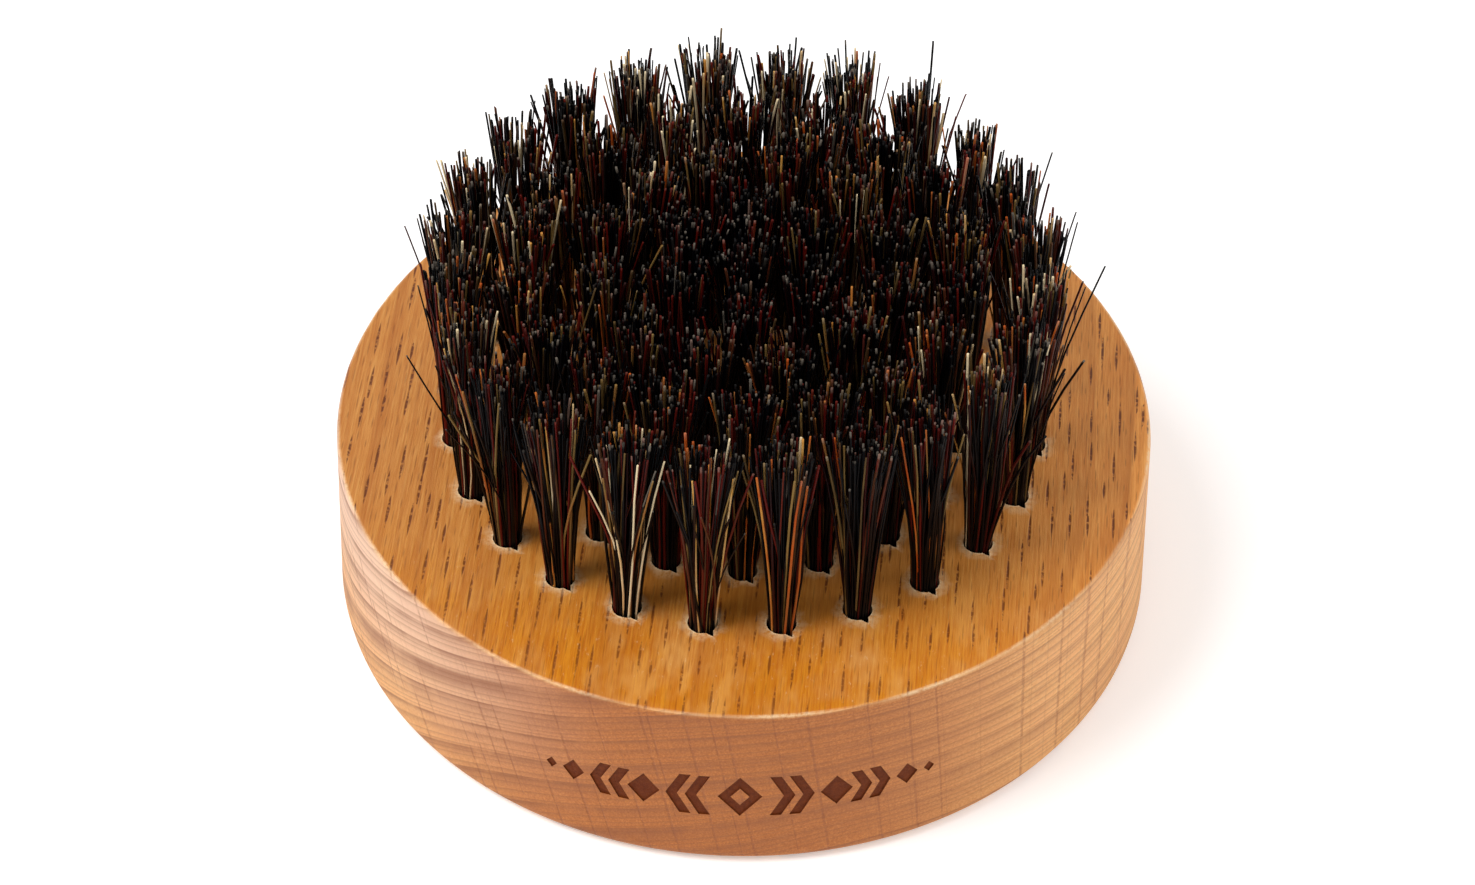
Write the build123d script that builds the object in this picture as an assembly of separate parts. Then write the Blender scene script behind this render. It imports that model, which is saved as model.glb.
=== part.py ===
from build123d import *
import math
import os

# A round beard brush. A turned beech puck is drilled with blind holes in concentric rings, and each
# hole holds a tuft of boar bristle, folded in half around a flat wire anchor that bites into the wood.
# Millimetres. The origin is the centre of the flat back, +Z runs up through the bristles, and the
# burnt ornament is on the side that faces -Y.

FRONT_HEADING = -90.0  # degrees from +X
OVERSHOOT = 1.0  # how far a cutter reaches past the surface it starts from

# Wooden body
FACE_RADIUS = 35.0  # drilled face, where its plane meets the side
BACK_RADIUS = 35.5  # the side leans out a little towards the back
BODY_HEIGHT = 17.5
BACK_EDGE_RADIUS = 1.3
FACE_EDGE_RADIUS = 0.35

# Drilling pattern: one centre hole and four rings
RING_PITCH = 6.2  # from one ring to the next, along a radius
RING_COUNTS = (6, 12, 18, 24)
HOLE_RADIUS = 1.25
HOLE_DEPTH = 8.0  # to the end of the straight wall
DRILL_POINT_ANGLE = 118.0

# Flat wire anchors
ANCHOR_LENGTH = 3.1  # wider than the hole, so both ends bite
ANCHOR_THICKNESS = 0.35
ANCHOR_HEIGHT = 1.4
ANCHOR_CORNER = 0.3  # cut-off lower corners, which lead the anchor in
ANCHOR_LIFT = 0.9  # folded bristle between the anchor and the end of the wall
ANCHOR_HEADING = 300.0  # degrees from +X: every anchor is driven at the same heading
FIT_GAP = 0.02  # on each side, between pieces that touch
NICK_REACH = 0.55  # how far the driven anchor splits the rim of its hole
NICK_HALF_WIDTH = 0.42
NICK_ROOT = 0.25  # the nick's wide end starts this far inside the wall of the hole
NICK_DEPTH = 0.8

# Bristle tufts
BRISTLE_LENGTH = 20.5  # free length above the drilled face
TUFT_ROOT_RADIUS = HOLE_RADIUS - 0.03
TUFT_WAIST_RADIUS = 1.78  # at half the free length
TUFT_TIP_RADIUS = 2.6
TUFT_CROWN = 0.45  # height of the trimmed dome at the tips
TUFT_FOLD_DROP = 0.35  # how far the fold sinks into the drill point

# Burnt ornament on the front of the side, shallowly recessed
ORNAMENT_DEPTH = 0.12
ORNAMENT_MIDDLE = 8.1  # height of its centre line above the back
ORNAMENT_HEIGHT = 4.6
ORNAMENT_STROKE = 0.95
STAMP_LENGTH = 18.0  # of the straight cutters that carry the motifs into the side
CHEVRON_LEAN = 0.125  # sideways shift of a chevron's point and ends, over its height
CHEVRON_PLACES = (3.5, 5.1, 10.1, 11.7)  # along the side, from the middle
CHEVRON_HEIGHTS = (4.6, 4.6, 3.6, 3.6)
DIAMOND_PLACES = (8.0, 14.1, 16.1)
DIAMOND_HEIGHTS = (3.4, 2.4, 1.2)
DIAMOND_SLIMNESS = 0.8  # width of a diamond over its height
WINDOW_SHARE = 0.42  # open middle of the large centre diamond


def side_radius(height):
    """Radius of the side wall at a height above the back."""
    return BACK_RADIUS + (FACE_RADIUS - BACK_RADIUS) * height / BODY_HEIGHT


def ring_places(ring):
    """Hole centres of one ring, numbered from 1 outwards. Every other ring straddles the front."""
    count = RING_COUNTS[ring - 1]
    step = 360.0 / count
    straddles = (len(RING_COUNTS) - ring) % 2 == 0
    first = FRONT_HEADING + (step / 2 if straddles else 0.0)
    radius = RING_PITCH * ring
    angles = [math.radians(first + step * i) for i in range(count)]
    return [(radius * math.cos(angle), radius * math.sin(angle)) for angle in angles]


def turned_blank():
    """The puck before drilling: flat back and face, leaning side, softened edges."""
    outline = Polyline((0, 0), (BACK_RADIUS, 0), (FACE_RADIUS, BODY_HEIGHT), (0, BODY_HEIGHT), close=True)
    blank = revolve(Plane.XZ * make_face(outline), Axis.Z)
    rims = blank.edges().filter_by(GeomType.CIRCLE).sort_by(Axis.Z)
    blank = fillet(rims[0], BACK_EDGE_RADIUS)
    rims = blank.edges().filter_by(GeomType.CIRCLE).sort_by(Axis.Z)
    return fillet(rims[-1], FACE_EDGE_RADIUS)


def hole_cutter():
    """Drill point, straight wall, the slits that the anchor cuts and the nicks it leaves in the rim."""
    point_height = HOLE_RADIUS / math.tan(math.radians(DRILL_POINT_ANGLE / 2))
    floor = BODY_HEIGHT - HOLE_DEPTH
    outline = Polyline(
        (0, floor - point_height),
        (HOLE_RADIUS, floor),
        (HOLE_RADIUS, BODY_HEIGHT + OVERSHOOT),
        (0, BODY_HEIGHT + OVERSHOOT),
        close=True,
    )
    bore = revolve(Plane.XZ * make_face(outline), Axis.Z)
    slit_bottom = floor + ANCHOR_LIFT - FIT_GAP
    slit_height = BODY_HEIGHT - slit_bottom
    slit = Pos(0, 0, slit_bottom + slit_height / 2) * Box(
        ANCHOR_LENGTH + 2 * FIT_GAP, ANCHOR_THICKNESS + 2 * FIT_GAP, slit_height
    )
    nick_root = HOLE_RADIUS - NICK_ROOT
    nick_outline = Polyline(
        (nick_root, NICK_HALF_WIDTH),
        (nick_root, -NICK_HALF_WIDTH),
        (HOLE_RADIUS + NICK_REACH, 0),
        close=True,
    )
    nick = extrude(make_face(nick_outline), amount=NICK_DEPTH + OVERSHOOT)
    nick = Pos(0, 0, BODY_HEIGHT - NICK_DEPTH) * nick
    cutter = bore + slit + nick + Rot(0, 0, 180) * nick
    return Rot(0, 0, ANCHOR_HEADING) * cutter


def diamond(width, height):
    """A lozenge standing on its point."""
    return make_face(
        Polyline((-width / 2, 0), (0, -height / 2), (width / 2, 0), (0, height / 2), close=True)
    )


def chevron(height, direction):
    """An angle bracket of constant stroke, with its point towards +X or -X."""
    lean = height * CHEVRON_LEAN * direction
    half_stroke = ORNAMENT_STROKE / 2 * direction
    return make_face(
        Polyline(
            (-half_stroke - lean, height / 2),
            (half_stroke - lean, height / 2),
            (half_stroke + lean, 0),
            (half_stroke - lean, -height / 2),
            (-half_stroke - lean, -height / 2),
            (-half_stroke + lean, 0),
            close=True,
        )
    )


def ornament_cutter():
    """A symmetrical row of diamonds and chevrons, each laid square on the side at its own place."""
    centre = diamond(ORNAMENT_HEIGHT * DIAMOND_SLIMNESS, ORNAMENT_HEIGHT)
    window = diamond(
        ORNAMENT_HEIGHT * DIAMOND_SLIMNESS * WINDOW_SHARE, ORNAMENT_HEIGHT * WINDOW_SHARE
    )
    motifs = [(0.0, centre - window)]
    for side in (1, -1):
        for place, height in zip(CHEVRON_PLACES, CHEVRON_HEIGHTS):
            motifs.append((side * place, chevron(height, side)))
        for place, height in zip(DIAMOND_PLACES, DIAMOND_HEIGHTS):
            motifs.append((side * place, diamond(height * DIAMOND_SLIMNESS, height)))

    middle_radius = side_radius(ORNAMENT_MIDDLE)
    outside = Plane(
        origin=(0, -BACK_RADIUS - OVERSHOOT, ORNAMENT_MIDDLE), x_dir=(1, 0, 0), z_dir=(0, -1, 0)
    )
    stamps = []
    for place, face in motifs:
        turn = Rot(0, 0, math.degrees(place / middle_radius))
        stamps.append(turn * extrude(outside * face, amount=-STAMP_LENGTH))

    floor_outline = Polyline(
        (0, 0),
        (BACK_RADIUS - ORNAMENT_DEPTH, 0),
        (FACE_RADIUS - ORNAMENT_DEPTH, BODY_HEIGHT),
        (0, BODY_HEIGHT),
        close=True,
    )
    floor = revolve(Plane.XZ * make_face(floor_outline), Axis.Z)
    return [stamp - floor for stamp in stamps]


def wooden_body(places):
    """The finished puck."""
    cutter = hole_cutter()
    cuts = [Pos(x, y, 0) * cutter for x, y in places]
    return turned_blank() - cuts - ornament_cutter()


def anchor():
    """One flat wire anchor, across the bottom of its hole."""
    half = ANCHOR_LENGTH / 2
    bottom = BODY_HEIGHT - HOLE_DEPTH + ANCHOR_LIFT
    outline = Polyline(
        (-half, bottom + ANCHOR_CORNER),
        (-half + ANCHOR_CORNER, bottom),
        (half - ANCHOR_CORNER, bottom),
        (half, bottom + ANCHOR_CORNER),
        (half, bottom + ANCHOR_HEIGHT),
        (-half, bottom + ANCHOR_HEIGHT),
        close=True,
    )
    plate = extrude(Plane.XZ * make_face(outline), amount=ANCHOR_THICKNESS / 2, both=True)
    return Rot(0, 0, ANCHOR_HEADING) * plate


def cap(rim, crown_height):
    """Arc of a spherical cap in the X-Z half plane, from its rim to its crown on the axis."""
    radius, rim_height = rim
    rise = crown_height - rim_height
    sphere_radius = (radius**2 + rise**2) / (2 * abs(rise))
    centre_height = crown_height - math.copysign(sphere_radius, rise)
    half_angle = math.asin(radius / sphere_radius) / 2
    middle = (
        sphere_radius * math.sin(half_angle),
        centre_height + math.copysign(sphere_radius * math.cos(half_angle), rise),
    )
    return ThreePointArc(rim, middle, (0, crown_height))


def tuft():
    """One bundle: the fold below the anchor, the root in the hole and the flared, trimmed free end."""
    floor = BODY_HEIGHT - HOLE_DEPTH
    tip = BODY_HEIGHT + BRISTLE_LENGTH
    fold_rim = (TUFT_ROOT_RADIUS, floor + FIT_GAP)
    mouth = (TUFT_ROOT_RADIUS, BODY_HEIGHT)
    waist = (TUFT_WAIST_RADIUS, BODY_HEIGHT + BRISTLE_LENGTH / 2)
    shoulder = (TUFT_TIP_RADIUS, tip - TUFT_CROWN)
    outline = [
        Line((0, tip), (0, floor - TUFT_FOLD_DROP)),
        cap(fold_rim, floor - TUFT_FOLD_DROP),
        Line(fold_rim, mouth),
        ThreePointArc(mouth, waist, shoulder),
        cap(shoulder, tip),
    ]
    bundle = revolve(Plane.XZ * make_face(outline), Axis.Z)
    slot = Pos(0, 0, floor + ANCHOR_LIFT + ANCHOR_HEIGHT / 2) * Box(
        ANCHOR_LENGTH, ANCHOR_THICKNESS + 2 * FIT_GAP, ANCHOR_HEIGHT + 2 * FIT_GAP
    )
    return bundle - Rot(0, 0, ANCHOR_HEADING) * slot


def write(name, shape):
    """One node, one file."""
    shape.label = name
    export_step(shape, os.path.join("parts", name + ".step"))


os.makedirs("parts", exist_ok=True)

rings = [ring_places(ring) for ring in range(1, len(RING_COUNTS) + 1)]
all_places = [(0.0, 0.0)] + [place for ring in rings for place in ring]

write("wooden_body", wooden_body(all_places))
write("anchor_staples", Compound(children=[Pos(x, y, 0) * anchor() for x, y in all_places]))

bundle = tuft()
inner_ring, second_ring, third_ring, outer_ring = rings
write("tuft_centre", bundle)
write("tufts_inner_ring", Compound(children=[Pos(x, y, 0) * bundle for x, y in inner_ring]))
for ring_name, ring in (("second", second_ring), ("third", third_ring), ("outer", outer_ring)):
    for number, (x, y) in enumerate(ring, start=1):
        write(f"tuft_{ring_name}_{number:02d}", Pos(x, y, 0) * bundle)
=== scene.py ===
import math

import bmesh
import bpy
import numpy as np
from mathutils import Matrix, Vector, geometry, noise


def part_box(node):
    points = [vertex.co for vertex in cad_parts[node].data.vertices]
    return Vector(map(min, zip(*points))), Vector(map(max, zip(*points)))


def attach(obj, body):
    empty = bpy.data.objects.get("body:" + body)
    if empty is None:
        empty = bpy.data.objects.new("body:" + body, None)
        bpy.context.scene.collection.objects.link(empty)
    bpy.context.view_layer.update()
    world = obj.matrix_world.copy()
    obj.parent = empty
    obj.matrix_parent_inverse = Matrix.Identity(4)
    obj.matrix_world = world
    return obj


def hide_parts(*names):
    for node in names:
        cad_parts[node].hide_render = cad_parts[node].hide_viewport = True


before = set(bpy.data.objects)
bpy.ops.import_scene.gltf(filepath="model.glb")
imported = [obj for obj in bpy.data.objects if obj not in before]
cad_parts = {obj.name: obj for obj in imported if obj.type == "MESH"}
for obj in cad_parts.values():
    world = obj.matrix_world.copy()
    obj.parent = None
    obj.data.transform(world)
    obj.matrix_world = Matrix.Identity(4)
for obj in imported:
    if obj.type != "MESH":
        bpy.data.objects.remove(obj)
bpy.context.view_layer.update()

MM = 0.001
TAU = 2 * math.pi
FRONT = -math.pi / 2  # the ornamented side faces -Y

# ---------------------------------------------------------------- places, from the frame
body_low, body_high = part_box("wooden_body")
FACE_HEIGHT = body_high[2]
TIP_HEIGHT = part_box("tuft_centre")[1][2]
HOLE_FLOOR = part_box("tuft_centre")[0][2]
ANCHOR_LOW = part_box("anchor_staples")[0][2]
ANCHOR_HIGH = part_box("anchor_staples")[1][2]
WIDEST_RADIUS = body_high[0]

# ---------------------------------------------------------------- puck
SIDE_LEAN = 0.5 * MM  # the back is wider than the face
EDGE_LOSS = 0.04 * MM  # the rounded back edge stops short of the side's full width
FACE_RADIUS = WIDEST_RADIUS - SIDE_LEAN + EDGE_LOSS
BACK_RADIUS = FACE_RADIUS + SIDE_LEAN
BACK_EDGE = 1.3 * MM
FACE_EDGE = 0.35 * MM
EDGE_STEPS = 5
ROUND_COLUMNS = 480
SIDE_ROWS = 32
FACE_GRID = 0.62 * MM
BACK_GRID = 1.9 * MM
GRID_JITTER = 0.22  # of the grid's spacing
ROW_PITCH = 0.866  # of a triangular grid, over its spacing
FIBRE_RELIEF = 0.016 * MM
FIBRE_SIZE = (0.9 * MM, 9 * MM)  # across and along the grain
RIM_MARGIN = MM / 4  # flat border of the face
EDGE_WEAR = 0.03 * MM
# Paleness of the face's rounded edge: partly rubbed bare wood, partly a painted highlight.
EDGE_BARENESS_AND_HIGHLIGHT = (0.0, 0.1, 0.5, 0.7, 0.4, 0.0)  # from the side up onto the face
SHARP_EDGE = math.radians(38)
WELD = 0.0005 * MM

HOLE_RADIUS = 1.25 * MM
RIM_POINTS = 48
RIM_BAND = 0.2 * MM  # torn ring of wood round a hole
RIM_CLEARANCE = 0.62 * MM  # from a hole's wall to the grid points round it
RIM_TEAR = 0.055 * MM
RIM_BARENESS = 0.5
HOLE_LEVELS = ((0.25 * MM, 0.8), (0.8 * MM, 0.3), (4 * MM, 0.0))  # depth, bareness of the wood
POINT_DROP = 0.1 * MM  # the drill point lies this far below the CAD's tuft
POINT_HEIGHT = 0.75 * MM
ANCHOR_HEADING = math.radians(300)
NICK_REACH = 0.55 * MM
NICK_HALF_ANGLE = math.radians(15)

ORNAMENT_MIDDLE = 8.1 * MM
ORNAMENT_DEPTH = 0.12 * MM
ORNAMENT_HEIGHT = 4.6 * MM
ORNAMENT_STROKE = 0.95 * MM
CHEVRONS = ((3.5, 4.6), (5.1, 4.6), (10.1, 3.6), (11.7, 3.6))  # place and height in mm
DIAMONDS = ((8.0, 3.4), (14.1, 2.4), (16.1, 1.2))
DIAMOND_SLIMNESS = 0.8
CHEVRON_LEAN = 0.125  # of its height
WINDOW_SHARE = 0.42
PATCH_COLUMNS = 40  # half width of the finely meshed front patch, in columns
PATCH_ROWS = (8, 20)
PATCH_GRID = 0.5 * MM
PATCH_MARGIN = 0.2 * MM

# ---------------------------------------------------------------- bristles
PAIRS_PER_TUFT = 57  # each hair is folded, so it shows twice
PLACE_JITTER = 0.035  # of the root's radius
ROOT_JITTER = 0.03 * MM
FREE_STATIONS = (0.0, 0.15, 0.35, 0.55, 0.76, 0.985, 1.0)  # shares of the free length
FLARE_RANGE = (0.78, 1.16)
WAVE = 0.1 * MM
STRAY_WAVE = 0.22 * MM
STRAY_CUT = (0.72, 1.05)  # strays are cut anywhere in this range of the length
ROOT_SPREAD = 1.12 * MM
TIP_SPREAD = 2.64 * MM
HAIR_RADIUS = (0.07 * MM, 0.138 * MM)
HAIR_SIDES = 5
FOLD_THICKNESS = 1.05  # at the middle of a hair, over its own radius
HAIR_TAPER = 0.22  # lost towards the tips
TIP_DOME = 0.35 * MM  # hairs at the ends of the anchor are shorter
HAIR_LIMIT = HOLE_RADIUS - RIM_TEAR - FOLD_THICKNESS * HAIR_RADIUS[1]  # of centre lines, in the hole
FOLD_SLIP = 0.34 * MM  # least distance of a centre line from the middle of the anchor
FOLD_CLEARANCE = 0.28 * MM  # from the anchor down to the highest fold
CORNER_CLEARANCE = 0.1 * MM  # from the anchor's lower edge to the bend round it
POINT_CLEARANCE = 0.17 * MM  # from the drill point up to the lowest fold
TUFT_TILT = 0.03
TUFT_LEAN = -0.008  # inwards, at the edge of the face
TRIM_UNEVENNESS = 0.7 * MM
TRIM_SHORTFALL = 1.5 * MM  # on average, hairs end this far below the top of the CAD's tuft
BEND = 0.6 * MM
STRAY_SHARE = 0.14
STRAY_BEND = 1.9 * MM
FURTHEST_BEND = 2.8 * MM
CLUMPS = 7  # per tuft: the free ends lean together in small locks
CLUMP_PULL = 0.42
# Painted shade: tufts nearer the centre than WARMTH_START of the radius get darker hairs.
SHADE_AND_WARMTH_RISE = 0.28  # tufts far from the centre have more coloured hairs
WARMTH_START = 0.72
WARMTH_SPREAD = 0.045
WARMTH_LIMIT = 0.04
# Painted light: tufts towards the back get lighter, more coloured hairs.
BACK_PAINTED_LIGHT = 0.08


def side_radius(height):
    return BACK_RADIUS + (FACE_RADIUS - BACK_RADIUS) * height / FACE_HEIGHT


def centre_of(node):
    low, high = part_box(node)
    return ((low[0] + high[0]) / 2, (low[1] + high[1]) / 2)


def tuft_places():
    """Hole centres by node. The six tufts round the centre share a node, half as far out as ring two."""
    places = {"tuft_centre": [(0.0, 0.0)]}
    for ring, count in (("second", 12), ("third", 18), ("outer", 24)):
        for number in range(1, count + 1):
            node = f"tuft_{ring}_{number:02d}"
            places[node] = [centre_of(node)]
    ring_radius = math.hypot(*places["tuft_second_01"][0]) / 2
    low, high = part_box("tufts_inner_ring")
    first = FRONT if high[1] - low[1] > high[0] - low[0] else FRONT + TAU / 12
    places["tufts_inner_ring"] = [
        (ring_radius * math.cos(first + TAU * i / 6), ring_radius * math.sin(first + TAU * i / 6))
        for i in range(6)
    ]
    return places


# ---------------------------------------------------------------- mesh helpers
def new_object(name, mesh, materials):
    piece = bpy.data.objects.new(name, mesh)
    bpy.context.collection.objects.link(piece)
    for material in materials:
        mesh.materials.append(material)
    return piece


class Skin:
    """Vertices and faces gathered bit by bit; vertices that coincide are welded at the end."""

    def __init__(self):
        self.points = []
        self.faces = []
        self.burnt = []
        self.raw = []

    def add(self, points, faces, burnt=False, raw=0.0):
        start = len(self.points)
        self.points.extend(points)
        self.raw.extend(raw if isinstance(raw, list) else [raw] * len(points))
        self.faces.extend([[start + i for i in face] for face in faces])
        self.burnt.extend([burnt] * len(faces))

    def ring_wall(self, lower, upper, raw_lower=0.0, raw_upper=0.0):
        """Quads between two closed rings of the same number of points."""
        count = len(lower)
        faces = [[i, (i + 1) % count, count + (i + 1) % count, count + i] for i in range(count)]
        raw = (raw_lower if isinstance(raw_lower, list) else [raw_lower] * count) + (
            raw_upper if isinstance(raw_upper, list) else [raw_upper] * count
        )
        self.add(list(lower) + list(upper), faces, raw=raw)


def triangulated(outline, inner_outlines, loose):
    """Constrained triangles of a plane region. Gives points, faces and the inner outlines each is in."""
    coords = list(outline)
    polygons = [list(range(len(outline)))]
    for inner in inner_outlines:
        polygons.append(list(range(len(coords), len(coords) + len(inner))))
        coords.extend(inner)
    coords.extend(loose)
    result = geometry.delaunay_2d_cdt([Vector(c) for c in coords], [], polygons, 0, 1e-9)
    points = [coords[given[0]] if given else tuple(point) for point, given in zip(result[0], result[3])]
    return points, [
        (list(face), [o - 1 for o in owner if o > 0])
        for face, owner in zip(result[2], result[5])
        if 0 in owner
    ]


def jittered_grid(reach, spacing, allowed, seed):
    """Points of a jittered triangular grid over a square of half width reach."""
    rng = np.random.default_rng(seed)
    points = []
    rows = int(reach / (spacing * ROW_PITCH))
    columns = int(reach / spacing)
    for row in range(-rows, rows + 1):
        for column in range(-columns - 1, columns + 1):
            x = (column + 0.5 * (row % 2) + rng.uniform(-GRID_JITTER, GRID_JITTER)) * spacing
            y = (row * ROW_PITCH + rng.uniform(-GRID_JITTER, GRID_JITTER)) * spacing
            if allowed(x, y):
                points.append((x, y))
    return points


# ---------------------------------------------------------------- puck mesh
def fibre_height(x, y):
    """Fine relief that runs along the grain."""
    return FIBRE_RELIEF * noise.noise(Vector((x / FIBRE_SIZE[0], y / FIBRE_SIZE[1], 0.0)))


def rim_loop(place, number, extra):
    """Outline of one torn hole rim, with the two nicks that its anchor left."""
    loop = []
    for i in range(RIM_POINTS):
        turn = TAU * i / RIM_POINTS
        off = min(abs(math.remainder(turn, TAU)), abs(math.remainder(turn - math.pi, TAU)))
        nick = NICK_REACH * max(0.0, 1 - off / NICK_HALF_ANGLE)
        tear = 0.5 * RIM_TEAR * noise.noise(Vector((i * 0.9, number * 7.3, 0.0)))
        radius = HOLE_RADIUS + nick + tear + extra
        angle = ANCHOR_HEADING + turn
        loop.append((place[0] + radius * math.cos(angle), place[1] + radius * math.sin(angle)))
    return loop


def grid_key(x, y):
    """A place as a key that other outlines of the same points share."""
    return (round(x / MM, 5), round(y / MM, 5))


def drilled_face(skin, places):
    """The flat face with its torn rims, and the wall and point of each hole."""
    edge_radius = FACE_RADIUS - FACE_EDGE
    outline = [
        (edge_radius * math.cos(FRONT + TAU * i / ROUND_COLUMNS),
         edge_radius * math.sin(FRONT + TAU * i / ROUND_COLUMNS))
        for i in range(ROUND_COLUMNS)
    ]
    centres = np.array(places)
    outer_loops = [rim_loop(place, n, RIM_BAND) for n, place in enumerate(places)]

    def allowed(x, y):
        if math.hypot(x, y) > edge_radius - 0.35 * FACE_GRID:
            return False
        return np.min(np.hypot(centres[:, 0] - x, centres[:, 1] - y)) > HOLE_RADIUS + RIM_CLEARANCE

    loose = jittered_grid(edge_radius, FACE_GRID, allowed, seed=3)
    points, faces = triangulated(outline, outer_loops, loose)
    rim_keys = {grid_key(x, y) for loop in outer_loops for x, y in loop}
    flat, raw = [], []
    for x, y in points:
        on_rim = grid_key(x, y) in rim_keys
        level = on_rim or math.hypot(x, y) >= edge_radius - RIM_MARGIN
        flat.append((x, y, FACE_HEIGHT + (0.0 if level else fibre_height(x, y))))
        raw.append(RIM_BARENESS if on_rim else 0.0)
    skin.add(flat, [face for face, owners in faces if not owners], raw=raw)

    for number, place in enumerate(places):
        outer = [(x, y, FACE_HEIGHT) for x, y in outer_loops[number]]
        torn = []
        for i, (x, y) in enumerate(rim_loop(place, number, 0.0)):
            lift = RIM_TEAR * (0.5 + noise.noise(Vector((i * 1.7, number * 3.1, 5.0))))
            torn.append((x, y, FACE_HEIGHT + max(lift, -0.3 * RIM_TEAR)))
        skin.ring_wall(torn, outer, 1.0, RIM_BARENESS)
        levels, raws = [torn], [1.0]
        for depth, bareness in HOLE_LEVELS:
            levels.append([(x, y, FACE_HEIGHT - depth) for x, y in rim_loop(place, number, 0.0)])
            raws.append(bareness)
        floor = HOLE_FLOOR - POINT_DROP
        turns = [ANCHOR_HEADING + TAU * i / RIM_POINTS for i in range(RIM_POINTS)]
        levels.append([
            (place[0] + HOLE_RADIUS * math.cos(turn), place[1] + HOLE_RADIUS * math.sin(turn),
             floor + POINT_HEIGHT)
            for turn in turns
        ])
        raws.append(0.0)
        for upper, lower, raw_upper, raw_lower in zip(levels, levels[1:], raws, raws[1:]):
            skin.ring_wall(lower, upper, raw_lower, raw_upper)
        fan = [[RIM_POINTS, (i + 1) % RIM_POINTS, i] for i in range(RIM_POINTS)]
        skin.add(levels[-1] + [(place[0], place[1], floor)], [face[::-1] for face in fan])


def turned_ring(radius, height, wear=0.0):
    """A ring of points round the puck, worn unevenly."""
    ring = []
    for i in range(ROUND_COLUMNS):
        angle = FRONT + TAU * i / ROUND_COLUMNS
        spot = Vector((math.cos(angle) * 9, math.sin(angle) * 9, height / (2 * MM)))
        worn = radius - wear * (0.5 + noise.noise(spot * 4))
        ring.append((worn * math.cos(angle), worn * math.sin(angle), height))
    return ring


def row_height(row):
    """Height of a row of the side's mesh, from the back's edge to the face's edge."""
    return BACK_EDGE + (FACE_HEIGHT - FACE_EDGE - BACK_EDGE) * row / SIDE_ROWS


def patchy_wear_and_highlight(column):
    """How pale the edge of the face is made, from place to place round it: partly rubbed bare, partly a
    painted highlight.
    """
    angle = TAU * column / ROUND_COLUMNS
    value = noise.noise(Vector((math.cos(angle) * 5, math.sin(angle) * 5, 0.0)))
    return min(max(0.38 + 1.7 * value, 0.03), 1.0)


def rounded_edges(skin):
    """The softened edge of the face, a little worn and paled partly as rubbed bare wood and partly as a
    painted highlight, and the flat back with its fuller edge.
    """
    rings = []
    outer_centre = side_radius(FACE_HEIGHT - FACE_EDGE) - FACE_EDGE
    inner_centre = FACE_RADIUS - FACE_EDGE
    for step in range(EDGE_STEPS + 1):
        turn = math.pi / 2 * step / EDGE_STEPS
        blend = step / EDGE_STEPS
        radius = outer_centre * (1 - blend) + inner_centre * blend + FACE_EDGE * math.cos(turn)
        wear = EDGE_WEAR if 0 < step < EDGE_STEPS else 0.0
        rings.append(turned_ring(radius, FACE_HEIGHT - FACE_EDGE + FACE_EDGE * math.sin(turn), wear))
    raws = [[share * patchy_wear_and_highlight(i) for i in range(ROUND_COLUMNS)] for share in EDGE_BARENESS_AND_HIGHLIGHT]
    for lower, upper, raw_lower, raw_upper in zip(rings, rings[1:], raws, raws[1:]):
        skin.ring_wall(lower, upper, raw_lower, raw_upper)

    rings = []
    back_radius = side_radius(BACK_EDGE) - BACK_EDGE
    for step in range(EDGE_STEPS + 1):
        turn = math.pi / 2 * step / EDGE_STEPS
        radius = back_radius + BACK_EDGE * math.sin(turn)
        rings.append(turned_ring(radius, BACK_EDGE - BACK_EDGE * math.cos(turn)))
    for lower, upper in zip(rings, rings[1:]):
        skin.ring_wall(lower, upper)
    outline = [(x, y) for x, y, z in rings[0]]
    loose = jittered_grid(
        back_radius, BACK_GRID, lambda x, y: math.hypot(x, y) < back_radius - 0.3 * BACK_GRID, seed=4
    )
    points, faces = triangulated(outline, [], loose)
    skin.add([(x, y, 0.0) for x, y in points], [face[::-1] for face, _ in faces])


def diamond(place, height):
    half = height / 2
    width = half * DIAMOND_SLIMNESS
    return [(place - width, 0.0), (place, -half), (place + width, 0.0), (place, half)]


def chevron(place, height, side):
    """An angle bracket that points away from the middle, its outline anticlockwise."""
    lean = height * CHEVRON_LEAN * side
    stroke = ORNAMENT_STROKE / 2
    return [
        (place - stroke - lean, height / 2), (place - stroke + lean, 0.0),
        (place - stroke - lean, -height / 2), (place + stroke - lean, -height / 2),
        (place + stroke + lean, 0.0), (place + stroke - lean, height / 2),
    ]


def ornament():
    """Outlines of the burnt motifs, unrolled on the side, and the window left plain in the middle."""
    window = diamond(0.0, ORNAMENT_HEIGHT * WINDOW_SHARE)
    motifs = [diamond(0.0, ORNAMENT_HEIGHT)]
    for side in (1, -1):
        for place, height in CHEVRONS:
            motifs.append(chevron(side * place * MM, height * MM, side))
        for place, height in DIAMONDS:
            motifs.append(diamond(side * place * MM, height * MM))
    return motifs, window


def side_wall(skin):
    """The side as a grid, but for a finer patch at the front that holds the ornament's outlines."""
    heights = [row_height(row) for row in range(SIDE_ROWS + 1)]
    rings = [turned_ring(side_radius(height), height) for height in heights]
    low_row, high_row = PATCH_ROWS
    for row in range(SIDE_ROWS):
        lower, upper = rings[row], rings[row + 1]
        faces = []
        for i in range(ROUND_COLUMNS):
            off = min(i, ROUND_COLUMNS - 1 - i)
            if off < PATCH_COLUMNS and low_row <= row < high_row:
                continue
            after = (i + 1) % ROUND_COLUMNS
            faces.append([i, after, ROUND_COLUMNS + after, ROUND_COLUMNS + i])
        skin.add(lower + upper, faces)
    front_patch(skin)


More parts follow.
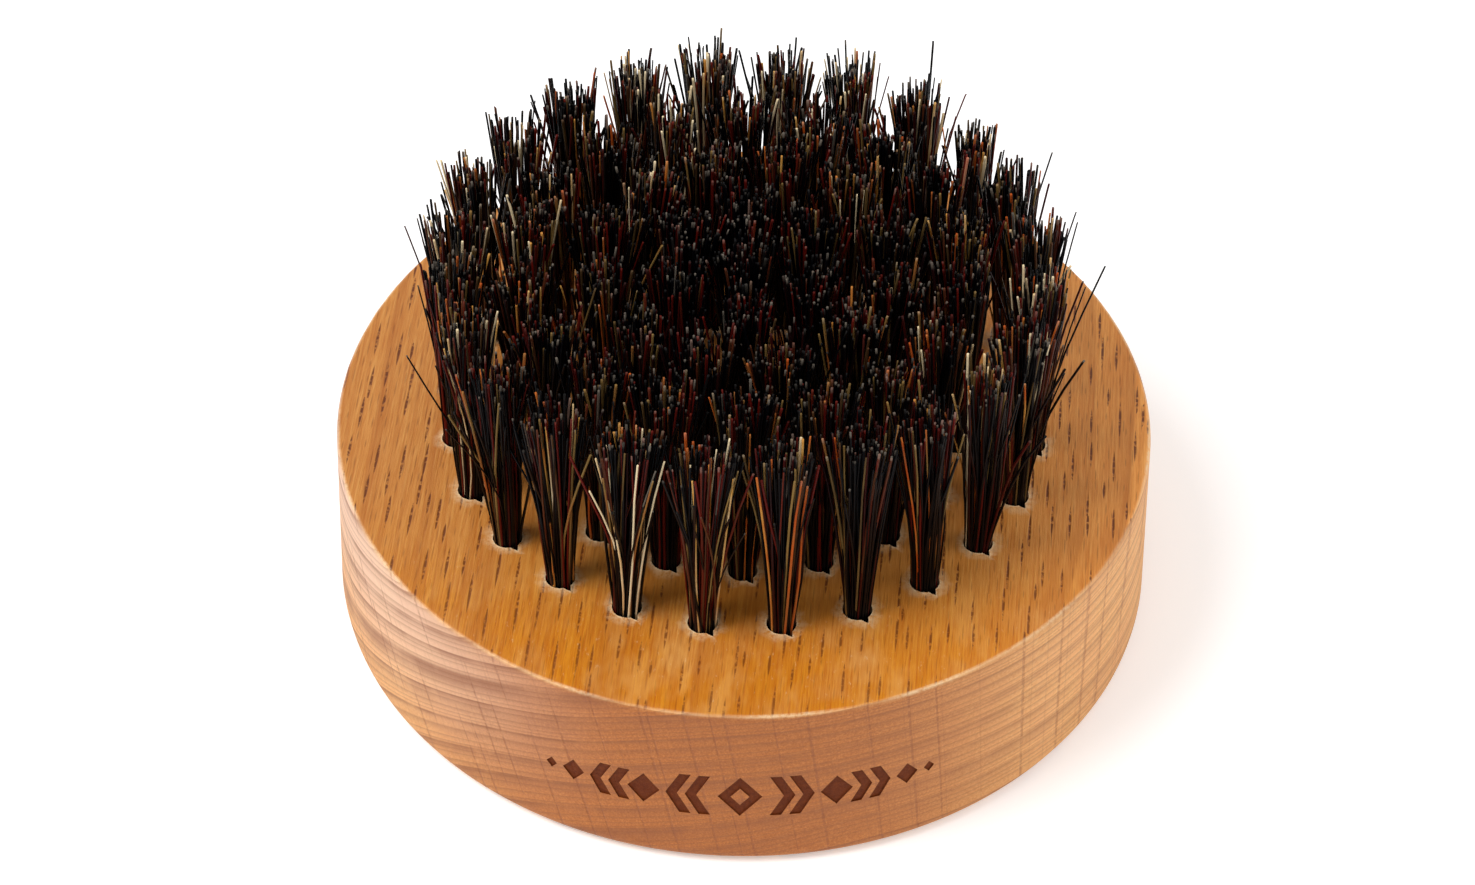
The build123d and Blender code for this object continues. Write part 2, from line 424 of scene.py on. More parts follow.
def front_patch(skin):
    """The patch of side that carries the ornament."""
    middle_radius = side_radius(ORNAMENT_MIDDLE)
    step = TAU / ROUND_COLUMNS * middle_radius
    low_row, high_row = PATCH_ROWS
    left, right = -PATCH_COLUMNS, PATCH_COLUMNS
    outline = [(i * step, row_height(low_row)) for i in range(left, right)]
    outline += [(right * step, row_height(row)) for row in range(low_row, high_row)]
    outline += [(i * step, row_height(high_row)) for i in range(right, left, -1)]
    outline += [(left * step, row_height(row)) for row in range(high_row, low_row, -1)]
    motifs, window = ornament()
    shapes = [[(x, y + ORNAMENT_MIDDLE) for x, y in shape] for shape in motifs + [window]]

    def allowed(x, y):
        inside = abs(x) < right * step - 0.4 * PATCH_GRID
        low, high = row_height(low_row) + PATCH_MARGIN, row_height(high_row) - PATCH_MARGIN
        return inside and low < y + ORNAMENT_MIDDLE < high

    loose = [
        (x, y + ORNAMENT_MIDDLE) for x, y in jittered_grid(right * step, PATCH_GRID, allowed, seed=5)
    ]
    points, faces = triangulated(outline, shapes, loose)
    window_index = len(shapes) - 1

    def rolled(point, inward):
        angle = FRONT + point[0] / middle_radius
        radius = side_radius(point[1]) - inward
        return (radius * math.cos(angle), radius * math.sin(angle), point[1])

    plain, burnt = [], []
    for face, owners in faces:
        is_burnt = bool(owners) and window_index not in owners
        (burnt if is_burnt else plain).append(face)
    skin.add([rolled(p, 0.0) for p in points], plain)
    skin.add([rolled(p, ORNAMENT_DEPTH) for p in points], burnt, burnt=True)
    border = {}
    for face in burnt:
        for a, b in zip(face, face[1:] + face[:1]):
            if (b, a) in border:
                del border[(b, a)]
            else:
                border[(a, b)] = True
    for a, b in border:
        quad = [rolled(points[a], 0.0), rolled(points[b], 0.0),
                rolled(points[b], ORNAMENT_DEPTH), rolled(points[a], ORNAMENT_DEPTH)]
        skin.add(quad, [[0, 1, 2, 3]], burnt=True)


def make_puck(places, materials):
    """The turned, drilled and marked beech puck."""
    skin = Skin()
    drilled_face(skin, places)
    rounded_edges(skin)
    side_wall(skin)
    mesh = bpy.data.meshes.new("beech_puck")
    mesh.from_pydata(skin.points, [], skin.faces)
    mesh.polygons.foreach_set("material_index", [int(b) for b in skin.burnt])
    raw = mesh.attributes.new("raw_wood_and_edge_highlight", "FLOAT", "POINT")
    raw.data.foreach_set("value", skin.raw)
    bm = bmesh.new()
    bm.from_mesh(mesh)
    bmesh.ops.remove_doubles(bm, verts=bm.verts, dist=WELD)
    loose = [v for v in bm.verts if not v.link_faces]
    bmesh.ops.delete(bm, geom=loose, context="VERTS")
    bmesh.ops.recalc_face_normals(bm, faces=bm.faces)
    for face in bm.faces:
        face.smooth = True
    for edge in bm.edges:
        if len(edge.link_faces) == 2 and edge.calc_face_angle() > SHARP_EDGE:
            edge.smooth = False
    bm.to_mesh(mesh)
    bm.free()
    puck = new_object("beech_puck", mesh, materials)
    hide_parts("wooden_body")
    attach(puck, "root")


# ---------------------------------------------------------------- bristle meshes
def half_disc_places(rng):
    """Even places for one end of each folded hair, on one side of the anchor."""
    places = []
    golden = math.pi * (3 - math.sqrt(5))
    total = 2 * PAIRS_PER_TUFT
    for i in range(total * 2):
        radius = math.sqrt((i + 0.5) / total)
        angle = i * golden
        x, y = radius * math.cos(angle), radius * math.sin(angle)
        if y > 0 and radius < 1:
            places.append((x, y))
    places = places[:PAIRS_PER_TUFT]
    return [
        (x + rng.normal(0, PLACE_JITTER), abs(y + rng.normal(0, PLACE_JITTER))) for x, y in places
    ]


def free_end(rng, root, lean, tip_height, locks):
    """Centre line of one free end, from the mouth of the hole to the cut tip."""
    flare = TIP_SPREAD / ROOT_SPREAD * rng.uniform(*FLARE_RANGE)
    stray = rng.random() < STRAY_SHARE
    bend = rng.normal(0, STRAY_BEND if stray else BEND, 2).clip(-FURTHEST_BEND, FURTHEST_BEND)
    wave = rng.normal(0, STRAY_WAVE if stray else WAVE, 2)
    if not stray:
        nearest = locks[np.argmin(np.linalg.norm(locks - root, axis=1))]
        bend = bend + CLUMP_PULL * flare * (nearest - root)
    length = tip_height - FACE_HEIGHT + rng.normal(-TRIM_SHORTFALL, TRIM_UNEVENNESS)
    if stray:
        length *= rng.uniform(*STRAY_CUT)
    points = []
    for t in FREE_STATIONS:
        opening = 1 + (flare - 1) * t**1.25
        offset = root * opening + bend * t**2 + wave * math.sin(t * 5.0) + lean * length * t**1.2
        points.append((offset[0], offset[1], FACE_HEIGHT + length * t))
    return points


def folded_hair(rng, place, lean, across, along, locks):
    """Centre line of one hair: tip, mouth, round under the anchor, mouth, tip."""
    ends = []
    for side in (1, -1):
        root = (along * place[0] + across * side * place[1]) * ROOT_SPREAD
        root = root + rng.normal(0, ROOT_JITTER, 2)
        root = root * min(1.0, HAIR_LIMIT / np.linalg.norm(root))
        tip_height = TIP_HEIGHT - TIP_DOME * place[0] ** 2
        ends.append(free_end(rng, root, lean, tip_height, locks))
    slip = min(max(place[1] * ROOT_SPREAD, FOLD_SLIP), HAIR_LIMIT)
    sideways = math.sqrt(HAIR_LIMIT**2 - slip**2)
    lengthways = max(min(place[0] * ROOT_SPREAD, sideways), -sideways)
    highest = ANCHOR_LOW - FOLD_CLEARANCE
    lowest = HOLE_FLOOR + POINT_HEIGHT * abs(lengthways) / HOLE_RADIUS + POINT_CLEARANCE
    drop = max(highest - (highest - HOLE_FLOOR) * min(place[1], 1.0), lowest)
    fold = []
    for offset, height in (
        (slip, ANCHOR_HIGH), (slip, ANCHOR_LOW - CORNER_CLEARANCE), (0.0, min(drop, highest)),
        (-slip, ANCHOR_LOW - CORNER_CLEARANCE), (-slip, ANCHOR_HIGH),
    ):
        spot = along * lengthways + across * offset
        fold.append((spot[0], spot[1], height))
    return ends[0][::-1] + fold + ends[1]


def tube(path, radii, reference):
    """Closed tube round a centre line, as arrays of points and faces."""
    path = np.asarray(path)
    tangents = np.gradient(path, axis=0)
    tangents /= np.linalg.norm(tangents, axis=1, keepdims=True)
    first = reference - (tangents @ reference)[:, None] * tangents
    first /= np.linalg.norm(first, axis=1, keepdims=True)
    second = np.cross(tangents, first)
    turns = TAU * np.arange(HAIR_SIDES) / HAIR_SIDES
    rings = (
        path[:, None, :]
        + radii[:, None, None] * np.cos(turns)[None, :, None] * first[:, None, :]
        + radii[:, None, None] * np.sin(turns)[None, :, None] * second[:, None, :]
    )
    faces = []
    for ring in range(len(path) - 1):
        base = ring * HAIR_SIDES
        for i in range(HAIR_SIDES):
            after = (i + 1) % HAIR_SIDES
            faces.append((base + i, base + after, base + HAIR_SIDES + after, base + HAIR_SIDES + i))
    last = (len(path) - 1) * HAIR_SIDES
    faces.append(tuple(reversed(range(HAIR_SIDES))))
    faces.append(tuple(range(last, last + HAIR_SIDES)))
    return rings.reshape(-1, 3), faces


def make_tuft(name, node, places, seed, material):
    """All the folded hairs of one node's tufts, as one piece."""
    rng = np.random.default_rng(seed)
    along = np.array((math.cos(ANCHOR_HEADING), math.sin(ANCHOR_HEADING)))
    across = np.array((-along[1], along[0]))
    reference = np.array((along[0], along[1], 0.0))
    points, faces, tones, reach = [], [], [], []
    start = 0
    for place in places:
        centre = np.array(place)
        outward = centre / max(np.linalg.norm(centre), MM)
        share = np.linalg.norm(centre) / FACE_RADIUS
        lean = outward * TUFT_LEAN * share + rng.normal(0, TUFT_TILT / 2, 2)
        # Each tuft's tone shift: a random spread, painted shade darkening tufts nearer the centre, and
        # painted light lifting tufts at the back.
        warmth_and_painted_shading = min(rng.normal(SHADE_AND_WARMTH_RISE * (share - WARMTH_START), WARMTH_SPREAD), WARMTH_LIMIT)
        warmth_and_painted_shading += BACK_PAINTED_LIGHT * max(outward[1], 0.0) * share
        turns = rng.uniform(0, TAU, CLUMPS)
        reaches = ROOT_SPREAD * np.sqrt(rng.uniform(0, 1, CLUMPS))
        locks = np.stack((reaches * np.cos(turns), reaches * np.sin(turns)), axis=1)
        spread = (np.arange(PAIRS_PER_TUFT) + rng.random(PAIRS_PER_TUFT)) / PAIRS_PER_TUFT
        for spot, plain_tone in zip(half_disc_places(rng), rng.permutation(spread)):
            path = np.array(folded_hair(rng, spot, lean, across, along, locks))
            path[:, :2] += centre
            thickness = rng.uniform(*HAIR_RADIUS)
            steps = np.abs(np.linspace(-1, 1, len(path)))
            radii = thickness * (FOLD_THICKNESS - HAIR_TAPER * steps**3)
            tube_points, tube_faces = tube(path, radii, reference)
            points.append(tube_points)
            faces.extend([tuple(start + i for i in face) for face in tube_faces])
            tone = min(max(plain_tone + warmth_and_painted_shading, 0.0), 1.0)
            tones.extend([tone] * len(tube_points))
            run = np.clip((path[:, 2] - FACE_HEIGHT) / (path[[0, -1], 2].min() - FACE_HEIGHT), 0, 1)
            reach.extend(np.repeat(run, HAIR_SIDES))
            start += len(tube_points)
    mesh = bpy.data.meshes.new(name)
    mesh.from_pydata(np.concatenate(points).tolist(), [], faces)
    mesh.attributes.new("tone", "FLOAT", "POINT").data.foreach_set("value", tones)
    mesh.attributes.new("reach", "FLOAT", "POINT").data.foreach_set("value", reach)
    mesh.polygons.foreach_set("use_smooth", [len(f) == 4 for f in faces])
    piece = new_object(name, mesh, [material])
    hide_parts(node)
    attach(piece, "root")


# ---------------------------------------------------------------- colours, on a screen, 0 to 255
# A ramp is a row of places with their colours.
LACQUER = ((0.26, (196, 116, 42)), (0.5, (220, 146, 68)), (0.74, (240, 174, 94)))
ORANGE_LACQUER = ((0.3, (200, 106, 1)), (0.7, (238, 154, 12)))
LACQUER_SHADE = (180, 104, 40)
SCUFF = (248, 188, 104)
SPECK = (246, 214, 164)
TURNED_WOOD = ((0.25, (222, 151, 88)), (0.5, (240, 178, 110)), (0.75, (250, 200, 138)))
PINK_WOOD = (237, 170, 112)
END_GRAIN = ((0.25, (166, 90, 32)), (0.5, (190, 111, 47)), (0.75, (214, 136, 65)))
LEFT_PAINTED_LIGHT = (250, 218, 200)
TORN_WOOD_AND_HIGHLIGHT = (250, 218, 172)
SIDE_RINGS = (142, 80, 44)
FACE_RINGS = (176, 96, 30)
SIDE_RAYS = (138, 72, 38)
FACE_RAYS = (110, 50, 10)
CHAR = ((0.3, (84, 30, 8)), (0.7, (118, 52, 18)))
HAIR_TONES = (
    (0.0, (2, 3, 7)), (0.52, (4, 4, 6)), (0.62, (42, 8, 8)), (0.75, (98, 18, 10)),
    (0.82, (70, 52, 30)), (0.88, (132, 104, 56)), (0.92, (184, 76, 20)), (0.95, (206, 152, 72)),
    (0.975, (240, 218, 176)),
)
CUT_TIP = (190, 176, 158)
WIRE = ((0.3, (120, 122, 126)), (0.7, (176, 178, 182)))
FLOOR_WHITE = ((0.3, (250, 250, 250)), (0.7, (253, 253, 253)))


def srgb(red, green, blue):
    """A screen colour as the linear colour that shaders use."""
    def linear(value):
        value /= 255
        return value / 12.92 if value <= 0.04045 else ((value + 0.055) / 1.055) ** 2.4
    return (linear(red), linear(green), linear(blue), 1.0)


def grey(value):
    return (value, value, value, 1)


# ---------------------------------------------------------------- materials
class Shader:
    """A material and short calls for the nodes it is made of."""

    def __init__(self, name):
        self.material = bpy.data.materials.new(name)
        self.material.use_nodes = True
        self.tree = self.material.node_tree
        self.surface = self.tree.nodes["Principled BSDF"]

    def plug(self, value, socket):
        if isinstance(value, bpy.types.NodeSocket):
            self.tree.links.new(value, socket)
        else:
            socket.default_value = value

    def node(self, kind, out=0, setup=None, **values):
        made = self.tree.nodes.new(kind)
        for key, value in (setup or {}).items():
            setattr(made, key, value)
        for key, value in values.items():
            self.plug(value, made.inputs[int(key[1:])] if key[0] == "i" and key[1:].isdigit()
                      else made.inputs[key])
        return made.outputs[out]

    def math(self, operation, a, b=0.0, c=0.0, clamp=False):
        setup = {"operation": operation, "use_clamp": clamp}
        return self.node("ShaderNodeMath", setup=setup, i0=a, i1=b, i2=c)

    def times(self, a, b, clamp=False):
        return self.math("MULTIPLY", a, b, clamp=clamp)

    def dot(self, vector, direction):
        setup = {"operation": "DOT_PRODUCT"}
        return self.node("ShaderNodeVectorMath", out=1, setup=setup, i0=vector, i1=direction)

    def joined(self, x, y, z=0.0):
        return self.node("ShaderNodeCombineXYZ", i0=x, i1=y, i2=z)

    def noise(self, vector, scale, detail=2.0, roughness=0.5):
        return self.node(
            "ShaderNodeTexNoise", Vector=vector, Scale=scale, Detail=detail, Roughness=roughness
        )

    def range(self, value, low, high, to_low=0.0, to_high=1.0):
        setup = {"interpolation_type": "SMOOTHSTEP"}
        return self.node("ShaderNodeMapRange", setup=setup, i0=value, i1=low, i2=high,
                         i3=to_low, i4=to_high)

    def mix(self, factor, a, b, blend="MIX"):
        made = self.tree.nodes.new("ShaderNodeMix")
        made.data_type = "RGBA"
        made.blend_type = blend
        self.plug(factor, made.inputs[0])
        self.plug(a, made.inputs[6])
        self.plug(b, made.inputs[7])
        return made.outputs[2]

    def ramp(self, factor, stops):
        made = self.tree.nodes.new("ShaderNodeValToRGB")
        elements = made.color_ramp.elements
        while len(elements) < len(stops):
            elements.new(0.5)
        for element, (place, colour) in zip(elements, stops):
            element.position = place
            element.color = srgb(*colour)
        self.plug(factor, made.inputs[0])
        return made.outputs[0]

    def attribute(self, name):
        return self.node("ShaderNodeAttribute", out=2, setup={"attribute_name": name})

    def bump(self, height, strength, distance):
        normal = self.node("ShaderNodeBump", Height=height, Strength=strength, Distance=distance)
        self.tree.links.new(normal, self.surface.inputs["Normal"])


GRAIN_TURN = math.radians(4.5)  # the grain runs front to back, turned a little
RING_CENTRE = (16.5, -59.5)  # pith of the growth rings, across and up, in mm
RAY_CENTRE = (31.0, -157.0)  # where the rays meet
YEAR = 2.35  # thickness of a year's growth, in mm
FINE_LINES = 0.62  # spacing of the lines within a year
BIG_RAYS = ((1.6, 4.5), (0.1, 1.75))  # spacing and half size, across and along, in mm
SMALL_RAYS = ((0.8, 2.4), (0.05, 0.8))
# Painted light: the face's colour is multiplied up towards the right and the back.
PAINTED_LIGHT_GAIN = (1.36, 1.34, 1.34, 1)  # the face is brighter towards the right and the back


class Wood:
    """Solid beech in a shader: coordinates in mm, with the rings, rays and fibres in them."""

    def __init__(self, shader):
        self.shader = shader
        position = shader.node("ShaderNodeTexCoord", out=3)
        scale = {"operation": "SCALE"}
        in_mm = shader.node("ShaderNodeVectorMath", setup=scale, i0=position, Scale=1 / MM)
        self.across = shader.dot(in_mm, (math.cos(GRAIN_TURN), -math.sin(GRAIN_TURN), 0))
        self.along = shader.dot(in_mm, (math.sin(GRAIN_TURN), math.cos(GRAIN_TURN), 0))
        self.up = shader.dot(in_mm, (0, 0, 1))
        self.normal = shader.tree.nodes.new("ShaderNodeNewGeometry").outputs["True Normal"]
        self.on_face = shader.range(shader.dot(self.normal, (0, 0, 1)), 0.75, 0.97)
        self.facing_left = shader.dot(self.normal, (-1, 0, 0))
        self.towards_front = shader.range(self.along, -10.0, -33.0)
        self.add_fibres(shader)
        self.add_rings_and_rays(shader)

    def add_fibres(self, shader):
        spot = shader.joined(self.across, self.along, self.up)
        self.beads = shader.noise(spot, 2.1, 2.0, 0.6)
        self.grit = shader.noise(spot, 2.6, 4.0, 0.75)
        self.patches = shader.noise(spot, 0.16, 3.0, 0.55)
        stretched = self.stretched(0.035)
        self.broad = shader.noise(stretched, 0.35, 2.0, 0.5)
        coarse = shader.noise(stretched, 5.5, 4.0, 0.72)
        fine = shader.math("SUBTRACT", shader.noise(stretched, 13.0, 3.0, 0.7), 0.5)
        self.fibres = shader.math("MULTIPLY_ADD", fine, 0.45, coarse)

    def add_rings_and_rays(self, shader):
        slow = shader.noise(self.stretched(0.25), 0.035, 1.0)
        depth = shader.math("MULTIPLY_ADD", slow, 5.0, self.distance_from(RING_CENTRE))
        self.rings = growth_rings(shader, depth, YEAR, 0.0)
        self.fine_rings = growth_rings(shader, depth, FINE_LINES, 4.0)
        tangent = shader.times(self.turn_about(RAY_CENTRE), -RAY_CENTRE[1])
        beaded = shader.range(self.beads, 0.36, 0.52, 0.25, 1.0)
        self.big_rays = shader.times(rays(shader, tangent, self.along, *BIG_RAYS, 0.0), beaded)
        self.small_rays = rays(shader, tangent, self.along, *SMALL_RAYS, 3.0)

    def stretched(self, share):
        """Coordinates in which patterns are drawn out along the grain."""
        return self.shader.joined(self.across, self.shader.times(self.along, share), self.up)

    def beside(self, centre):
        """Steps across and up from a line along the grain."""
        x = self.shader.math("SUBTRACT", self.across, centre[0])
        return x, self.shader.math("SUBTRACT", self.up, centre[1])

    def distance_from(self, centre):
        x, z = self.beside(centre)
        squares = self.shader.math("ADD", self.shader.times(x, x), self.shader.times(z, z))
        return self.shader.math("SQRT", squares)

    def turn_about(self, centre):
        return self.shader.math("ARCTAN2", *self.beside(centre))


def growth_rings(shader, depth, spacing, seed):
    """0 in early wood, rising to 1 at the late-wood line of each year, unevenly spaced."""
    wander = shader.noise(shader.joined(depth, seed), 0.35, 1.0)
    phase = shader.math("DIVIDE", shader.math("MULTIPLY_ADD", wander, 3.0, depth), spacing)
    year = shader.math("FRACT", phase)
    slope = shader.math("POWER", year, 3.0)
    return shader.times(slope, shader.range(year, 1.0, 0.93))


def rays(shader, tangent, along, cell, size, seed):
    """Lens-shaped sections of the rays: dashes on the face, thin lines on the end grain."""
    grid = shader.joined(
        shader.math("DIVIDE", tangent, cell[0]), shader.math("DIVIDE", along, cell[1]), seed
    )
    voronoi = shader.tree.nodes.new("ShaderNodeTexVoronoi")
    voronoi.voronoi_dimensions = "2D"
    shader.plug(grid, voronoi.inputs["Vector"])
    voronoi.inputs["Scale"].default_value = 1.0
    voronoi.inputs["Randomness"].default_value = 0.85
    apart = shader.node("ShaderNodeVectorMath", setup={"operation": "SUBTRACT"},
                        i0=grid, i1=voronoi.outputs["Position"])
    sideways = shader.math("ABSOLUTE", shader.dot(apart, (cell[0], 0, 0)))
    lengthways = shader.math("ABSOLUTE", shader.dot(apart, (0, cell[1], 0)))
    luck = shader.dot(voronoi.outputs["Color"], (1, 0, 0))
    reach = shader.math("MULTIPLY_ADD", luck, size[1], size[1] * 0.5)
    taper = shader.math("POWER", shader.math("DIVIDE", lengthways, reach), 2.0)
    width = shader.times(shader.math("SUBTRACT", 1.0, taper), size[0])
    return shader.range(shader.math("SUBTRACT", width, sideways), -0.04, 0.05)


def lacquered_face(shader, wood):
    """Golden lacquer, more orange and more rubbed towards the front, with painted light brightening it
    towards the right and the back.
    """
    face = shader.ramp(wood.fibres, LACQUER)
    orange_share = shader.times(wood.towards_front, shader.range(wood.patches, 0.22, 0.52))
    face = shader.mix(orange_share, face, shader.ramp(wood.fibres, ORANGE_LACQUER))
    face = shader.mix(shader.times(wood.broad, 0.35), face, srgb(*LACQUER_SHADE))
    with_grain = wood.stretched(0.4)
    rubbed = shader.range(shader.noise(with_grain, 0.3, 3.0, 0.6), 0.47, 0.66)
    scuffs = shader.times(rubbed, wood.towards_front)
    face = shader.mix(shader.times(scuffs, 0.42), face, srgb(*SCUFF))
    flecked = shader.range(shader.noise(with_grain, 3.4, 3.0, 0.7), 0.62, 0.74)
    specks = shader.times(flecked, wood.towards_front)
    face = shader.mix(shader.times(specks, 0.4), face, srgb(*SPECK))
    # Painted light: the face's colour rises up to 1.36 times towards the right and the back.
    painted_light_share = shader.range(shader.math("MULTIPLY_ADD", wood.along, 0.45, wood.across), 3.0, 36.0)
    return shader.mix(painted_light_share, face, PAINTED_LIGHT_GAIN, "MULTIPLY")


def turned_side(shader, wood):
    """Paler wood, pinker in patches, darker where the grain ends, with painted light paling the upper
    left.
    """
    side = shader.ramp(wood.fibres, TURNED_WOOD)
    pink = shader.range(wood.patches, 0.35, 0.65)
    side = shader.mix(shader.times(pink, 0.45), side, srgb(*PINK_WOOD))
    grain = (math.sin(GRAIN_TURN), math.cos(GRAIN_TURN), 0)
    end_facing = shader.math("ABSOLUTE", shader.dot(wood.normal, grain))
    side = shader.mix(shader.range(end_facing, 0.58, 1.0), side, shader.ramp(wood.fibres, END_GRAIN))
    # Painted light: the upper part of the side that faces left is paled towards near white.
    left_painted_light_share = shader.times(shader.range(wood.facing_left, 0.25, 1.0), shader.range(wood.up, 0.0, 16.0))
    return shader.mix(shader.times(left_painted_light_share, 0.6), side, srgb(*LEFT_PAINTED_LIGHT))


def with_lines(shader, wood, colour):
    """The growth rings and the rays drawn over a colour."""
    ring_tint = shader.mix(wood.on_face, srgb(*SIDE_RINGS), srgb(*FACE_RINGS))
    drawn = shader.math("MULTIPLY_ADD", shader.range(wood.facing_left, -0.5, 0.8), 0.26, 0.44)
    drawn = shader.times(drawn, shader.range(wood.broad, 0.3, 0.62, 0.6, 1.3), clamp=True)
    ring_strength = shader.mix(wood.on_face, drawn, grey(0.45))
    colour = shader.mix(shader.times(wood.rings, ring_strength), colour, ring_tint)
    fine_strength = shader.mix(wood.on_face, grey(0.5), grey(0.34))
    colour = shader.mix(shader.times(wood.fine_rings, fine_strength), colour, ring_tint)
    ray_tint = shader.mix(wood.on_face, srgb(*SIDE_RAYS), srgb(*FACE_RAYS))
    face_rays = shader.math("MULTIPLY_ADD", wood.towards_front, -0.25, 0.98)
    ray_strength = shader.mix(wood.on_face, grey(0.38), face_rays)
    colour = shader.mix(shader.times(wood.big_rays, ray_strength), colour, ray_tint)
    faint = shader.times(ray_strength, 0.4)
    return shader.mix(shader.times(wood.small_rays, faint), colour, ray_tint)


def beech(name, burnt=False):
    """Beech: lacquered on the face, plain on the turned side, raw at torn and rubbed edges, with a
    painted highlight along the face's edge.
    """
    shader = Shader(name)
    wood = Wood(shader)
    colour = shader.mix(wood.on_face, turned_side(shader, wood), lacquered_face(shader, wood))
    colour = with_lines(shader, wood, colour)
    # Pale wood at the torn hole rims, and along the face's edge, where it is partly rubbed bare wood and
    # partly a painted highlight.
    bare_and_edge_highlight = shader.times(shader.attribute("raw_wood_and_edge_highlight"), shader.range(wood.grit, 0.3, 0.6), clamp=True)
    colour = shader.mix(shader.times(bare_and_edge_highlight, 0.95), colour, srgb(*TORN_WOOD_AND_HIGHLIGHT))
    if burnt:
        colour = shader.mix(0.95, colour, shader.ramp(wood.grit, CHAR))
    shader.plug(colour, shader.surface.inputs["Base Color"])
    gloss = shader.range(wood.fibres, 0.2, 0.8, 0.3, 0.46)
    roughness = shader.mix(wood.on_face, grey(0.55), gloss)
    shader.plug(roughness, shader.surface.inputs["Roughness"])
    shader.surface.inputs["Specular IOR Level"].default_value = 0.12 if burnt else 0.45
    relief = shader.math("SUBTRACT", wood.fibres, shader.times(wood.big_rays, 0.6))
    shader.bump(relief, 0.45, 0.12 * MM)
    return shader.material


def bristle():
    """Boar hair: mostly black, with brown, red, amber and cream hairs, lighter at the cut tips."""
    shader = Shader("boar_bristle")
    tone = shader.attribute("tone")
    reach = shader.attribute("reach")
    position = shader.node("ShaderNodeTexCoord", out=3)
    drift = shader.noise(position, 260.0, 2.0)
    shifted = shader.math("ADD", tone, shader.math("MULTIPLY_ADD", drift, 0.08, -0.04))
    colour = shader.ramp(shifted, HAIR_TONES)
    tip = shader.range(reach, 0.985, 1.0)
    luck = shader.math("FRACT", shader.times(tone, 47.0))
    pale = shader.times(tip, shader.range(luck, 0.45, 1.0, 0.01, 0.26))
    colour = shader.mix(pale, colour, srgb(*CUT_TIP))
    shader.plug(colour, shader.surface.inputs["Base Color"])
    shader.surface.inputs["Roughness"].default_value = 0.33
    shader.surface.inputs["Specular IOR Level"].default_value = 0.1
    return shader.material


def galvanised_steel():
    """Dull drawn wire with fine lengthwise scratches."""
    shader = Shader("anchor_wire")
    position = shader.node("ShaderNodeTexCoord", out=3)
    scratches = shader.noise(position, 2400.0, 4.0, 0.7)
    shader.plug(shader.ramp(scratches, WIRE), shader.surface.inputs["Base Color"])
    shader.plug(shader.range(scratches, 0.2, 0.8, 0.3, 0.55), shader.surface.inputs["Roughness"])
    shader.surface.inputs["Metallic"].default_value = 1.0
    return shader.material


def floor_paint():
    """White, and a little self-lit to the camera, so that the floor keeps only a faint shadow."""
    shader = Shader("floor_white")
    position = shader.node("ShaderNodeTexCoord", out=3)
    clouded = shader.ramp(shader.noise(position, 3.0), FLOOR_WHITE)
    shader.plug(clouded, shader.surface.inputs["Base Color"])
    shader.surface.inputs["Roughness"].default_value = 0.9
    seen = shader.tree.nodes.new("ShaderNodeLightPath").outputs["Is Camera Ray"]
    shader.surface.inputs["Emission Color"].default_value = grey(1)
    shader.plug(shader.times(seen, FLOOR_GLOW), shader.surface.inputs["Emission Strength"])
    return shader.material


# ---------------------------------------------------------------- stage
FLOOR_REACH = 3.0
FLOOR_DROP = 0.05 * MM
FLOOR_GLOW = 0.27
WORLD_STRENGTH = 0.55
WORLD_SEEN = 1.0  # the background to the camera


def make_floor():
    mesh = bpy.data.meshes.new("floor")
    corners = [(-1, -1), (1, -1), (1, 1), (-1, 1)]
    mesh.from_pydata([(x * FLOOR_REACH, y * FLOOR_REACH, 0) for x, y in corners], [], [(0, 1, 2, 3)])
    floor = new_object("floor", mesh, [floor_paint()])
    floor.location.z = -FLOOR_DROP


def area_light(name, direction, distance, size, power):
    lamp = bpy.data.lights.new(name, "AREA")
    lamp.shape = "DISK"
    lamp.size = size
    lamp.energy = power
    holder = bpy.data.objects.new(name, lamp)
    away = Vector(direction).normalized()
    holder.location = away * distance
    holder.rotation_euler = away.to_track_quat("Z", "Y").to_euler()
    bpy.context.collection.objects.link(holder)


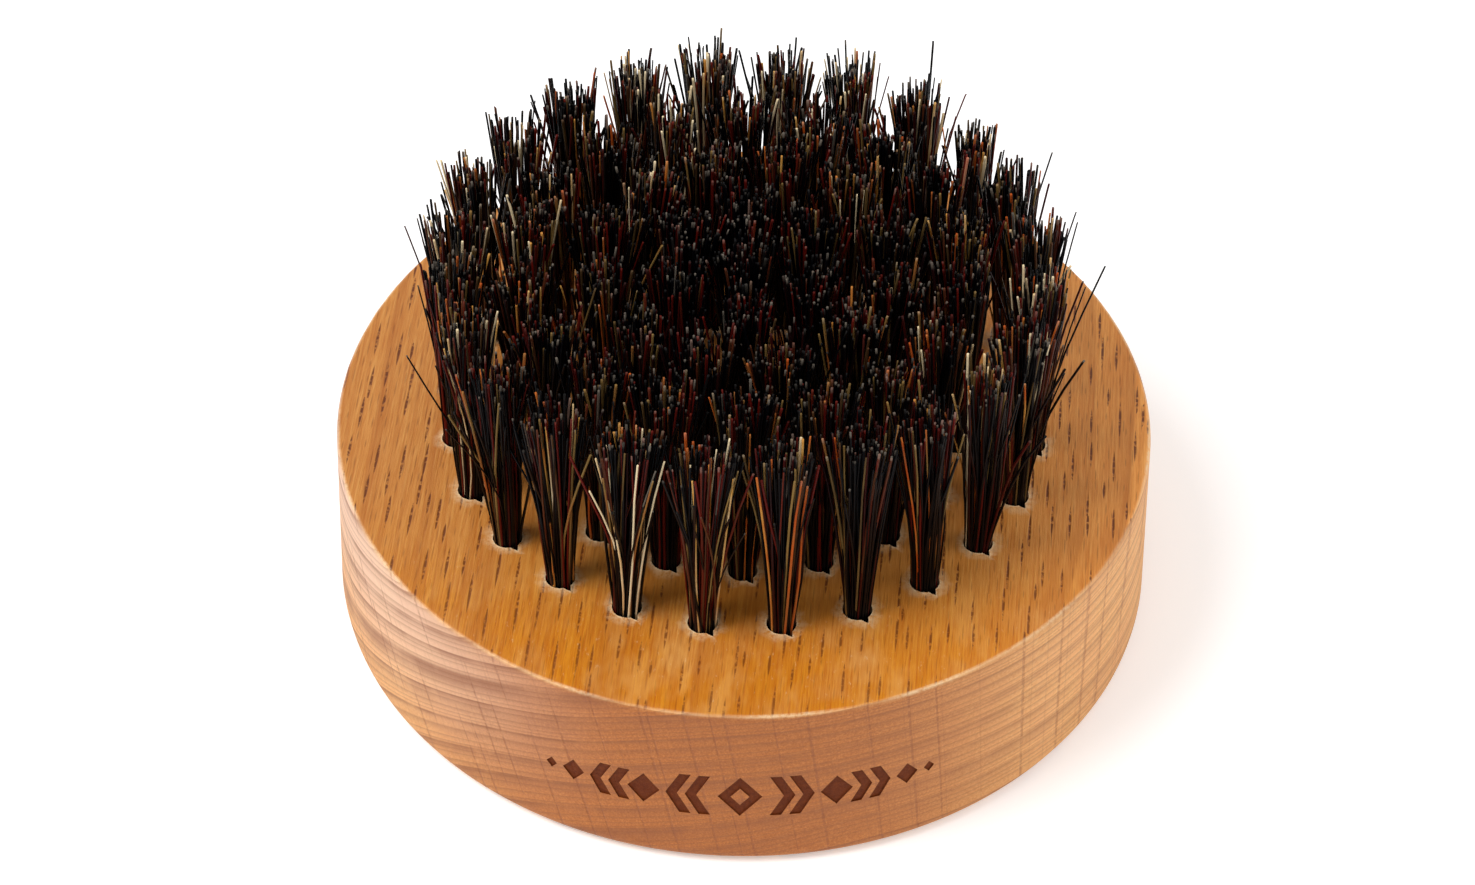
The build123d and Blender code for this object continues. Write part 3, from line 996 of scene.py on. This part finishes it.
def make_lights():
    world = bpy.data.worlds.new("studio")
    world.use_nodes = True
    background = world.node_tree.nodes["Background"]
    background.inputs["Color"].default_value = grey(1)
    seen = world.node_tree.nodes.new("ShaderNodeLightPath").outputs["Is Camera Ray"]
    strength = world.node_tree.nodes.new("ShaderNodeMapRange")
    strength.inputs["To Min"].default_value = WORLD_STRENGTH
    strength.inputs["To Max"].default_value = WORLD_SEEN
    world.node_tree.links.new(seen, strength.inputs["Value"])
    world.node_tree.links.new(strength.outputs["Result"], background.inputs["Strength"])
    bpy.context.scene.world = world
    area_light("key", direction=(-0.65, -0.2, 1.0), distance=0.9, size=0.5, power=5.0)
    area_light("fill", direction=(1.0, 0.0, 0.4), distance=1.0, size=0.8, power=3.2)


VIEW_ELEVATION = math.radians(44.436)
VIEW_ROLL = math.radians(-0.648)
VIEW_DISTANCE = 10.483  # in face radii
VIEW_SHIFT = (0.01608, 0.0687)  # the face's centre from the middle of the view, in face radii
VIEW_LENS = 103.9
VIEW_SENSOR = 36.0


def make_camera():
    """The viewpoint: in front, well above, through a longish lens."""
    camera = bpy.data.cameras.new("camera")
    camera.sensor_width = VIEW_SENSOR
    camera.lens = VIEW_LENS
    camera.clip_start = 0.01
    holder = bpy.data.objects.new("camera", camera)
    forward = Vector((0, math.cos(VIEW_ELEVATION), -math.sin(VIEW_ELEVATION)))
    level_up = Vector((0, math.sin(VIEW_ELEVATION), math.cos(VIEW_ELEVATION)))
    level_right = Vector((1, 0, 0))
    right = level_right * math.cos(VIEW_ROLL) - level_up * math.sin(VIEW_ROLL)
    up = level_right * math.sin(VIEW_ROLL) + level_up * math.cos(VIEW_ROLL)
    offset = right * VIEW_SHIFT[0] + up * VIEW_SHIFT[1] + forward * VIEW_DISTANCE
    place = Vector((0, 0, FACE_HEIGHT)) - offset * FACE_RADIUS
    turn = Matrix((right, up, -forward)).transposed()
    holder.matrix_world = Matrix.Translation(place) @ turn.to_4x4()
    bpy.context.collection.objects.link(holder)
    bpy.context.scene.camera = holder


# ---------------------------------------------------------------- build
places_by_node = tuft_places()
all_places = [place for places in places_by_node.values() for place in places]
make_puck(all_places, [beech("beech"), beech("burnt_beech", burnt=True)])

hair = bristle()
for number, (node, places) in enumerate(places_by_node.items()):
    make_tuft("bristles_" + node, node, places, 100 + number, hair)

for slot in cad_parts["anchor_staples"].material_slots:
    slot.material = galvanised_steel()

make_floor()
make_lights()
make_camera()
bpy.context.scene.view_settings.view_transform = "Standard"
